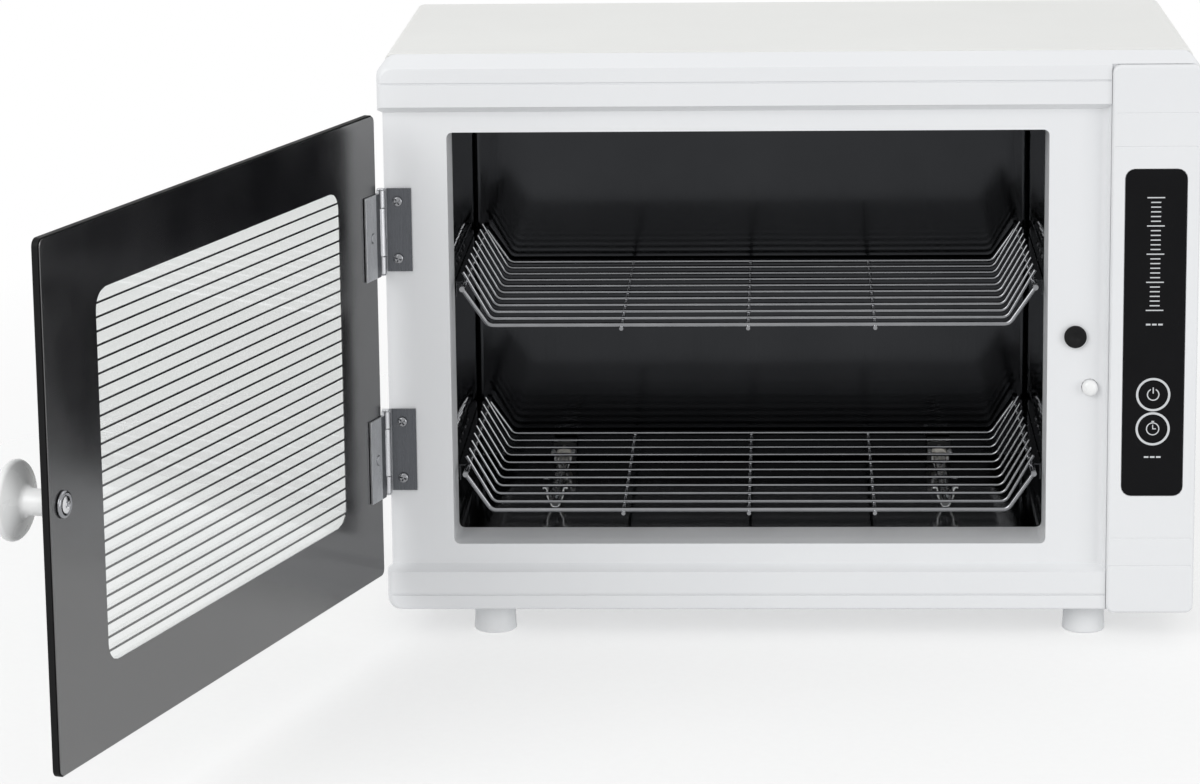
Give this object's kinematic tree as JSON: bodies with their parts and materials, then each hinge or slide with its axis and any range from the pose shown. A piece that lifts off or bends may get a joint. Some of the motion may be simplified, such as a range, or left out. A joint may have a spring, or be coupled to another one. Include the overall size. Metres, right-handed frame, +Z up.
{
  "type": "ultraviolet sterilizer cabinet",
  "caption": "Countertop ultraviolet sterilizer cabinet: steel housing, open glass door, wire shelves and a push-key control strip.",
  "frame": {"origin": "middle of the base pan's underside", "axes": "+Z up, -Y out of the front where the door is, +X towards the control strip"},
  "size_m": [0.5705, 0.5704, 0.3174],
  "materials": {
    "powder_coat": "white powder coat, satin",
    "moulding": "pale grey moulded plastic, satin",
    "polished_steel": "bright polished stainless sheet",
    "chromed_wire": "bright chrome plate",
    "zinc_sheet": "zinc plated, dull",
    "hinge_steel": "satin steel",
    "panel_gloss": "gloss black sheet",
    "black_enamel": "fired black border on the glass",
    "clear_glass": "clear float glass",
    "clear_quartz": "clear quartz tube",
    "white_plastic": "white moulded plastic",
    "black_plastic": "black moulded plastic",
    "grey_rubber": "matt grey rubber",
    "ferrite": "black sintered magnet",
    "laminate": "green circuit board",
    "cable": "white wire cover"
  },
  "bodies": {
    "cabinet": {"outer_shell": "powder_coat", "base_pan": "zinc_sheet", "back_panel": "powder_coat", "front_fascia": "moulding", "control_bezel": "moulding", "control_panel": "panel_gloss", "control_board": "laminate", "chamber_liner": "polished_steel", "upper_rail_left": "polished_steel", "upper_rail_right": "polished_steel", "lower_rail_left": "polished_steel", "lower_rail_right": "polished_steel", "uv_lamp_left": "clear_quartz", "uv_lamp_right": "clear_quartz", "lamp_socket_left": "black_plastic", "lamp_socket_right": "black_plastic", "lamp_clip_front_left": "chromed_wire", "lamp_clip_back_left": "chromed_wire", "lamp_clip_front_right": "chromed_wire", "lamp_clip_back_right": "chromed_wire", "lamp_ballast": "black_plastic", "ballast_screw": "zinc_sheet", "wiring_loom": "cable", "cord_gland": "black_plastic", "foot_front_left": "grey_rubber", "foot_screw_front_left": "zinc_sheet", "foot_front_right": "grey_rubber", "foot_screw_front_right": "zinc_sheet", "foot_back_left": "grey_rubber", "foot_screw_back_left": "zinc_sheet", "foot_back_right": "grey_rubber", "foot_screw_back_right": "zinc_sheet", "side_screw_front_left": "zinc_sheet", "side_screw_front_right": "zinc_sheet", "side_screw_rear_left": "zinc_sheet", "side_screw_rear_right": "zinc_sheet", "catch_magnet": "ferrite", "door_switch_body": "black_plastic", "hinge_leaf_upper": "hinge_steel", "hinge_pin_upper": "hinge_steel", "hinge_leaf_lower": "hinge_steel", "hinge_pin_lower": "hinge_steel", "hinge_screw_upper_top": "chromed_wire", "hinge_screw_upper_bottom": "chromed_wire", "hinge_screw_lower_top": "chromed_wire", "hinge_screw_lower_bottom": "chromed_wire"},
    "door": {"door_glass": "clear_glass", "door_border": "black_enamel", "door_knob": "white_plastic", "knob_washer": "chromed_wire", "knob_screw": "chromed_wire", "door_clamp_upper": "hinge_steel", "door_clamp_lower": "hinge_steel", "clamp_screw_upper": "hinge_steel", "clamp_screw_lower": "hinge_steel"},
    "upper_shelf": {"upper_shelf": "chromed_wire"},
    "lower_shelf": {"lower_shelf": "chromed_wire"},
    "key_upper": {"key_upper": "panel_gloss"},
    "key_lower": {"key_lower": "panel_gloss"},
    "switch_plunger": {"switch_plunger": "white_plastic"}
  },
  "joints": [
    {"name": "door_hinge", "type": "hinge", "parent": "cabinet", "child": "door", "pos_m": [-0.21375, -0.1046, 0.15], "axis": [0, 0, -1], "range_deg": [-108.05, 71.95]},
    {"name": "upper_shelf_slide", "type": "slide", "parent": "cabinet", "child": "upper_shelf", "axis": [0, -1, 0], "range_m": [0, 0.06]},
    {"name": "lower_shelf_slide", "type": "slide", "parent": "cabinet", "child": "lower_shelf", "axis": [0, -1, 0], "range_m": [0, 0.06]},
    {"name": "key_upper_press", "type": "slide", "parent": "cabinet", "child": "key_upper", "axis": [0, 1, 0], "range_m": [0, 0.0006], "stiffness_N_per_m": 1500, "springref_m": -0.0004},
    {"name": "key_lower_press", "type": "slide", "parent": "cabinet", "child": "key_lower", "axis": [0, 1, 0], "range_m": [0, 0.0006], "stiffness_N_per_m": 1500, "springref_m": -0.0004},
    {"name": "switch_plunger_press", "type": "slide", "parent": "cabinet", "child": "switch_plunger", "axis": [0, 1, 0], "range_m": [0, 0.003], "stiffness_N_per_m": 300, "springref_m": -0.001}
  ]
}
